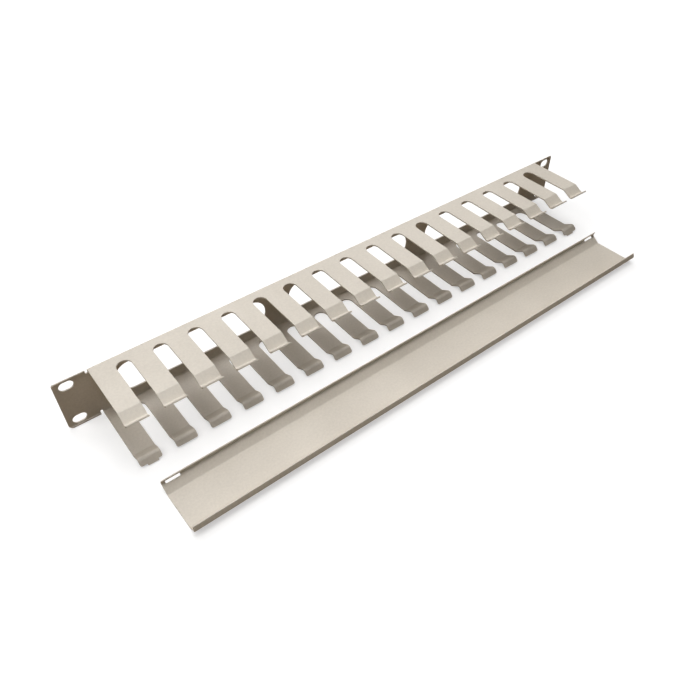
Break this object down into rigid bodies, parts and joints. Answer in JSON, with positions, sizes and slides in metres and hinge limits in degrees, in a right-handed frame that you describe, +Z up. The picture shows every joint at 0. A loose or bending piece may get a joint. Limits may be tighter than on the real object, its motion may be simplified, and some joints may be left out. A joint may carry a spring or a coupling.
{
  "type": "rack cable management panel",
  "caption": "Beige powder-coated rack panel with an upper and a lower row of hooked fingers that guide cables, and its clip-on cover lying in front of it.",
  "frame": {"origin": "middle of the rectangle of the four rack slots, on the rear face of the ears that lies against the rack's posts", "axes": "+X runs along the panel, to the right as seen from the front; +Y points back into the rack, square to the ears; +Z is up"},
  "size_m": [0.4826, 0.1265, 0.0436],
  "materials": {
    "powder_coat": "fine satin powder coat, warm beige grey"
  },
  "bodies": {
    "root": {"finger_panel": "powder_coat", "cover": "powder_coat"}
  },
  "joints": []
}
